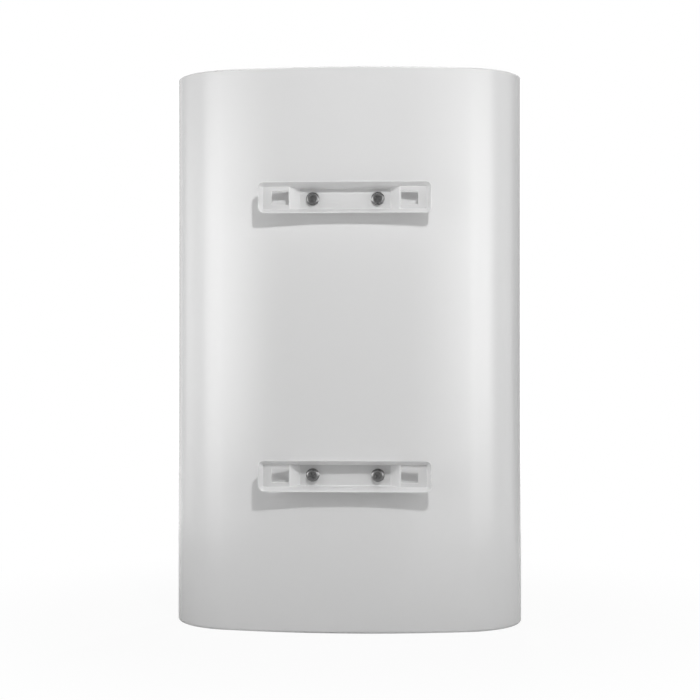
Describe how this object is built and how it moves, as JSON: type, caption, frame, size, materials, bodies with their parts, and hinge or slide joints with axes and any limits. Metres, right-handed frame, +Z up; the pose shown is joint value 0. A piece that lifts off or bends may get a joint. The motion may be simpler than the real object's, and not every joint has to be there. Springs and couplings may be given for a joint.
{
  "type": "storage water heater",
  "caption": "Flat wall-hung electric storage water heater: curved two-shell casing, slim twin tanks, rear wall brackets, recessed pipe ends and a front control panel.",
  "frame": {"origin": "centre of the overall width and depth, on the plane of the casing's bottom rim, which the heater stands on", "axes": "+Z up, +Y towards the wall side with the two brackets, -Y towards the user and the controls, +X to the right as the user sees the front"},
  "size_m": [0.434, 0.246, 0.684],
  "materials": {
    "white_paint": "gloss",
    "white_plastic": "satin",
    "bracket_plastic": "satin",
    "grey_plastic": "satin",
    "black_plastic": "satin",
    "display_black": "gloss",
    "zinc_plated_steel": "bright zinc plate",
    "chrome": "chrome plated plastic",
    "bare_steel": "rolled",
    "blue_enamel": "glass enamel",
    "copper": "drawn",
    "brass": "machined",
    "black_rubber": "matte",
    "magnesium": "dull",
    "foam_yellow": "rigid foam",
    "blue_plastic": "satin",
    "red_plastic": "satin",
    "board_green": "satin",
    "lens_orange": "clear",
    "lead_sheath": "satin"
  },
  "bodies": {
    "heater": {"rear_casing": "white_paint", "front_casing": "white_paint", "side_strip_left": "grey_plastic", "side_strip_right": "grey_plastic", "top_cover": "white_plastic", "bottom_cover": "white_plastic", "cover_screw_front_left": "zinc_plated_steel", "cover_screw_front_right": "zinc_plated_steel", "cover_screw_rear_left": "zinc_plated_steel", "cover_screw_rear_right": "zinc_plated_steel", "upper_bracket": "bracket_plastic", "lower_bracket": "bracket_plastic", "upper_left_bolt": "zinc_plated_steel", "upper_right_bolt": "zinc_plated_steel", "lower_left_bolt": "zinc_plated_steel", "lower_right_bolt": "zinc_plated_steel", "upper_hanger_frame": "bare_steel", "lower_hanger_frame": "bare_steel", "cold_tank": "blue_enamel", "hot_tank": "blue_enamel", "transfer_pipe": "copper", "foam_insulation": "foam_yellow", "cold_inlet_pipe": "bare_steel", "hot_outlet_pipe": "bare_steel", "inlet_diffuser": "white_plastic", "cold_ring": "blue_plastic", "hot_ring": "red_plastic", "cable_gland": "black_plastic", "cold_element_plug": "brass", "hot_element_plug": "brass", "cold_plug_gasket": "black_rubber", "hot_plug_gasket": "black_rubber", "cold_heating_element": "copper", "hot_heating_element": "copper", "cold_anode": "magnesium", "hot_anode": "magnesium", "cold_thermowell": "bare_steel", "hot_thermowell": "bare_steel", "cold_sensor": "copper", "hot_sensor": "copper", "thermal_cutout": "black_plastic", "terminal_block": "white_plastic", "supply_lead": "lead_sheath", "sensor_lead": "lead_sheath", "board_lead": "lead_sheath", "hot_element_lead": "lead_sheath", "cold_element_lead": "lead_sheath", "control_bezel": "black_plastic", "display_window": "display_black", "display_module": "black_plastic", "control_board": "board_green", "knob_selector": "black_plastic", "power_switch": "black_plastic", "mode_switch": "black_plastic", "indicator_lens": "lens_orange"},
    "temperature_knob_body": {"temperature_knob": "chrome", "knob_shaft": "bare_steel"},
    "power_button_body": {"power_button": "chrome"},
    "mode_button_body": {"mode_button": "chrome"},
    "reset_button_body": {"cutout_reset_button": "red_plastic"}
  },
  "joints": [
    {"name": "temperature_knob_turn", "type": "hinge", "parent": "heater", "child": "temperature_knob_body", "pos_m": [0, -0.107, 0.072], "axis": [0, 1, 0], "range_deg": [-135, 135]},
    {"name": "power_button_press", "type": "slide", "parent": "heater", "child": "power_button_body", "axis": [0, 1, 0], "range_m": [0, 0.0012], "stiffness_N_per_m": 1500},
    {"name": "mode_button_press", "type": "slide", "parent": "heater", "child": "mode_button_body", "axis": [0, 1, 0], "range_m": [0, 0.0012], "stiffness_N_per_m": 1500},
    {"name": "reset_button_press", "type": "slide", "parent": "heater", "child": "reset_button_body", "axis": [0, 0, 1], "range_m": [0, 0.0015], "stiffness_N_per_m": 1500}
  ]
}
